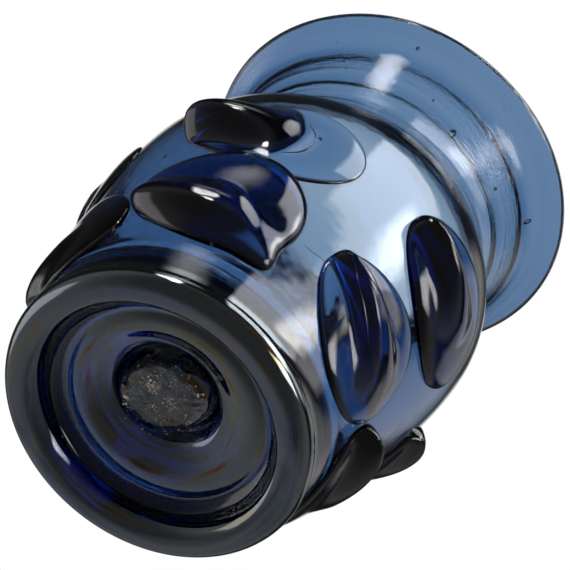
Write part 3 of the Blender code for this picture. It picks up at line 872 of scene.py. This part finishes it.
def glass_material(look, form):
    """Blue glass: a clear shader over a plain absorbing volume.

    Its bump has slow hand-blown waves everywhere, fine rings drawn round the lip, and pits on the scar.
    Its roughness is the clean glass's haze, with cloudy weathered patches low on the wall, and the
    broken glass of the scar.
    """
    material, tree, shader = new_material("blue_glass")
    shader.inputs["Base Color"].default_value = (1.0, 1.0, 1.0, 1.0)
    shader.inputs["Transmission Weight"].default_value = 1.0
    shader.inputs["IOR"].default_value = look.bend
    volume = tree.add("ShaderNodeVolumeAbsorption", {"Color": (*look.tint, 1.0), "Density": look.strength})
    tree.links.new(volume.outputs["Volume"], tree.nodes["Material Output"].inputs["Volume"])
    place = tree.add("ShaderNodeTexCoord").outputs["Object"]
    apart = tree.add("ShaderNodeSeparateXYZ", {"Vector": place})
    height = apart.outputs["Z"]
    beside = [tree.math("SUBTRACT", apart.outputs[i], float(form.foot[i])) for i in range(2)]
    reach = tree.size(beside)

    def circling(scale, turn_scale):
        """Coordinates for noise that is stretched round the axis."""
        return tree.add("ShaderNodeCombineXYZ", {
            "X": tree.times(reach, scale),
            "Y": tree.times(height, scale),
            "Z": tree.times(tree.math("ADD", *beside), turn_scale),
        }).outputs["Vector"]

    # Fine rings round the lip
    rings = tree.noise(circling(2200.0, 90.0), 1.0, 4.0)
    on_lip = tree.ramp(height, *RINGS_FADE)
    slow = tree.noise(place, 160.0, 2.0)
    # Scar: a rough patch at the middle of the underside
    drift = [tree.math("SUBTRACT", beside[i], form.DRIFT[i]) for i in range(2)]
    low = tree.ramp(height, *SCAR_LEVEL_FADE)
    on_scar = tree.times(tree.ramp(tree.size(drift), *SCAR_FADE), low)
    pits = tree.noise(place, 900.0, 6.0, 0.7)
    bump = None
    bumps = ((slow, SLOW_BUMP, None), (rings, RING_BUMP, on_lip), (pits, PIT_BUMP, on_scar))
    for level, amount, mask in bumps:
        raised = tree.times(level, mask) if mask else level
        inputs = {"Height": raised, "Distance": amount, "Strength": 1.0}
        if bump:
            inputs["Normal"] = bump
        bump = tree.add("ShaderNodeBump", inputs).outputs["Normal"]
    tree.links.new(bump, shader.inputs["Normal"])
    # Haze: cloudy patches between the foot and the lower prunts, and the scar
    cloud = tree.ramp(tree.noise(place, 220.0, 5.0, 0.65), 0.50, 0.68)
    low_wall = tree.times(tree.ramp(height, *HAZE_TOP_FADE), tree.ramp(height, *HAZE_FOOT_FADE))
    haze = tree.times(tree.times(cloud, low_wall), CLOUD_HAZE)
    broken = tree.times(on_scar, SCAR_HAZE)
    rough = tree.math("ADD", tree.math("ADD", haze, broken), look.haze)
    tree.links.new(rough, shader.inputs["Roughness"])
    # Iridescent film left by burial, on the underside and the foot ring but not in the groove
    broad = circling(520.0, 55.0)
    thicker = tree.times(tree.ramp(tree.noise(broad, 1.0, 3.0), 0.50, 0.80), FILM_PATCHES)
    groove = tree.times(
        tree.ramp(reach, form.kick_radius, form.kick_radius + KICK_EDGE),
        tree.ramp(reach, *[form.groove_radius + past for past in PAST_GROOVE]),
    )
    inside = tree.ramp(reach, form.groove_radius, form.groove_radius - GROOVE_EDGE)
    under = tree.times(tree.ramp(height, *UNDERSIDE_FADE), inside)
    patchy = tree.ramp(tree.noise(broad, 0.4), 0.2, 0.6)
    on_foot = tree.times(tree.ramp(height, *FOOT_FADE), patchy)
    where = tree.math("MAXIMUM", under, on_foot)
    where = tree.times(where, tree.math("SUBTRACT", 1.0, groove))
    film = tree.times(tree.math("ADD", thicker, FILM_LEAST), where)
    tree.links.new(film, shader.inputs["Thin Film Thickness"])
    shader.inputs["Thin Film IOR"].default_value = FILM_BEND
    return material


class BEAKER_OT_glass(bpy.types.Operator):
    """Blow the vessel, melt its prunts on and seal its seeds in"""

    bl_idname = "beaker.glass"
    bl_label = "Glass"

    def execute(self, context):
        look = context.scene.beaker_glass
        form = Form(context.scene.beaker_sizes)
        rng = np.random.default_rng(look.seed)
        prunts = [prunt_mesh(form, name, prunt) for name, prunt in PRUNTS.items()] + fold_meshes(form)
        melted = melt_together(prunts, vessel_mesh(form))
        placed = [(math.radians(azimuth), *[part / 1000 for part in sizes]) for azimuth, *sizes in SEEDS]
        both = bmesh.new()
        both.from_mesh(melted)
        both.from_mesh(seed_mesh(form, scattered_seeds(rng, placed)))
        both.to_mesh(melted)
        both.free()
        melted.name = "blown_glass"
        melted.materials.clear()
        melted.materials.append(glass_material(look, form))
        melted.shade_smooth()
        melted.set_sharp_from_angle(angle=math.radians(SHARP_ANGLE))
        piece = put("blown_glass", melted)
        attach(piece, "root")
        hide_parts("beaker")
        return {"FINISHED"}


def softbox(name, direction, power):
    """A square area lamp seen from the object in a direction, and not mirrored in it."""
    right, up, back, target = camera_frame()
    aim = (right * direction[0] + up * direction[1] + back * direction[2]).normalized()
    lamp = bpy.data.lights.new(name, "AREA")
    lamp.shape = "RECTANGLE"
    lamp.size = SOFTBOX_SIDE
    lamp.size_y = SOFTBOX_SIDE
    lamp.energy = power
    item = put(name, lamp)
    facing = aim.to_track_quat("Z", "Y").to_matrix().to_4x4()
    item.matrix_world = Matrix.Translation(target + aim * SOFTBOX_DISTANCE) @ facing
    item.visible_glossy = False
    item.visible_transmission = False


def studio_world(right, up, back):
    """Soft light from all round, as a colour for every direction.

    A white sheet behind the beaker, a pale table below, and soft-edged panels. A panel is set by its
    bearing round the view, from the camera's right towards its up, and by how far it is to the front.
    """
    world = bpy.data.worlds.new("studio")
    world.use_nodes = True
    tree = Nodes(world.node_tree)
    view = tree.add("ShaderNodeTexCoord").outputs["Generated"]
    across, rise, front = (tree.dot(view, axis) for axis in (right, up, back))
    bearing = tree.math("DEGREES", tree.math("ARCTAN2", rise, across))
    edge, core = (-math.cos(math.radians(turn)) for turn in (SHEET_EDGE, SHEET_CORE))
    sheet = tree.times(tree.ramp(front, edge, core), SHEET - SURROUND)
    low = tree.ramp(tree.dot(view, (0.0, 0.0, 1.0)), *TABLE_FADE)
    table = tree.times(tree.times(low, tree.ramp(front, *TABLE_FRONT)), TABLE)
    base = tree.math("ADD", sheet, table)
    total = tree.add("ShaderNodeCombineColor", {
        name: tree.math("ADD", base, SURROUND) for name in ("Red", "Green", "Blue")
    }).outputs["Color"]
    for turn, half_turn, forward, half_forward, slant, soft, strength, colour in PANELS:
        beside = tree.math("WRAP", tree.math("SUBTRACT", bearing, turn), 180.0, -180.0)
        off_turn = tree.math("ABSOLUTE", beside)
        middle = tree.math("MULTIPLY_ADD", beside, slant, forward)
        off_front = tree.math("ABSOLUTE", tree.math("SUBTRACT", front, middle))
        shape = tree.times(
            tree.ramp(off_turn, half_turn + soft * PANEL_SOFT_TURN, half_turn),
            tree.ramp(off_front, half_forward + soft, half_forward),
        )
        light = tree.add("ShaderNodeVectorMath", {
            0: tuple(part * strength for part in colour), "Scale": shape,
        }, operation="SCALE").outputs["Vector"]
        total = tree.add("ShaderNodeVectorMath", {0: total, 1: light}, operation="ADD").outputs["Vector"]
    seen = tree.add("ShaderNodeLightPath").outputs["Is Camera Ray"]
    shown = tree.add("ShaderNodeMix", {0: seen, 6: total, 7: (1.0, 1.0, 1.0, 1.0)}, data_type="RGBA")
    tree.links.new(shown.outputs[2], tree.nodes["Background"].inputs["Color"])
    return world


def camera_frame():
    """The camera's right, up and backward directions and the point that it looks at."""
    elevation, roll = math.radians(VIEW_ELEVATION), math.radians(VIEW_ROLL)
    back = Vector((0.0, -math.cos(elevation), math.sin(elevation)))
    level = Vector((0.0, 0.0, 1.0)).cross(back).normalized()
    upright = back.cross(level)
    right = level * math.cos(roll) + upright * math.sin(roll)
    up = upright * math.cos(roll) - level * math.sin(roll)
    foot = Form(bpy.context.scene.beaker_sizes).foot
    target = Vector((foot[0], foot[1], 0.0)) + Vector(VIEW_TARGET)
    return right, up, back, target


class BEAKER_OT_soil(bpy.types.Operator):
    """Leave soil in the groove, on the scar and beside the prunts"""

    bl_idname = "beaker.soil"
    bl_label = "Soil"

    def execute(self, context):
        look = context.scene.beaker_glass
        form = Form(context.scene.beaker_sizes)
        mesh = soil_mesh(form, np.random.default_rng(look.seed + 1))
        mesh.materials.append(soil_material(look))
        piece = put("soil", mesh)
        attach(piece, "root")
        return {"FINISHED"}


class BEAKER_OT_stage(bpy.types.Operator):
    """Lay the floor, light the beaker and set the camera as in the photograph"""

    bl_idname = "beaker.stage"
    bl_label = "Stage"

    def execute(self, context):
        scene = context.scene
        right, up, back, target = camera_frame()
        lens = bpy.data.cameras.new("camera")
        lens.lens = FOCAL_PIXELS * lens.sensor_width / IMAGE_WIDTH
        lens.clip_end = 10.0
        camera = put("camera", lens)
        place = target + back * VIEW_DISTANCE
        axes = Matrix((right, up, back)).transposed().to_4x4()
        camera.matrix_world = Matrix.Translation(place) @ axes
        scene.camera = camera
        scene.world = studio_world(right, up, back)
        scene.view_settings.view_transform = "Standard"
        floor(0.6)
        for name, direction, power in SOFTBOXES:
            softbox(name, direction, power)
        return {"FINISHED"}


def floor(half):
    """A pale disc to stand on, seen from above only, so that the foot can be looked at from below."""
    turns = np.linspace(0.0, 2 * math.pi, FLOOR_SIDES, endpoint=False)
    level = np.full(FLOOR_SIDES, -FLOOR_DROP)
    corners = np.stack([half * np.cos(turns), half * np.sin(turns), level], 1)
    mesh = bpy.data.meshes.new("floor")
    mesh.from_pydata(corners.tolist(), [], [list(range(FLOOR_SIDES))])
    material, tree, shader = new_material("floor")
    shader.inputs["Base Color"].default_value = (FLOOR_GREY, FLOOR_GREY, FLOOR_GREY, 1.0)
    shader.inputs["Roughness"].default_value = FLOOR_ROUGHNESS
    from_below = tree.add("ShaderNodeNewGeometry").outputs["Backfacing"]
    clear = tree.add("ShaderNodeBsdfTransparent").outputs["BSDF"]
    mix = tree.add("ShaderNodeMixShader", {"Fac": from_below, 1: shader.outputs["BSDF"], 2: clear})
    tree.links.new(mix.outputs["Shader"], tree.nodes["Material Output"].inputs["Surface"])
    mesh.materials.append(material)
    item = put("floor", mesh)
    item.visible_glossy = False
    item.visible_transmission = False
    item.visible_shadow = False
    return item


class BEAKER_PT_panel(bpy.types.Panel):
    """Lists the beaker's pieces and their sizes"""

    bl_label = "Beaker"
    bl_idname = "BEAKER_PT_panel"
    bl_space_type = "VIEW_3D"
    bl_region_type = "UI"
    bl_category = "Beaker"

    def draw(self, context):
        for operator in OPERATORS:
            self.layout.operator(operator.bl_idname)
        for group in (context.scene.beaker_sizes, context.scene.beaker_glass):
            box = self.layout.box()
            for name in group.__annotations__:
                box.prop(group, name)


OPERATORS = (BEAKER_OT_glass, BEAKER_OT_soil, BEAKER_OT_stage)
CLASSES = (BeakerSizes, BeakerGlass, *OPERATORS, BEAKER_PT_panel)


def register():
    """Add the classes, and the two groups of settings to the scene."""
    for item in CLASSES:
        bpy.utils.register_class(item)
    bpy.types.Scene.beaker_sizes = PointerProperty(type=BeakerSizes)
    bpy.types.Scene.beaker_glass = PointerProperty(type=BeakerGlass)


def unregister():
    """Take the settings and the classes away again."""
    del bpy.types.Scene.beaker_glass
    del bpy.types.Scene.beaker_sizes
    for item in reversed(CLASSES):
        bpy.utils.unregister_class(item)


def main():
    """Build and light the beaker."""
    register()
    bpy.ops.beaker.glass()
    bpy.ops.beaker.soil()
    bpy.ops.beaker.stage()


if __name__ == "__main__":
    main()
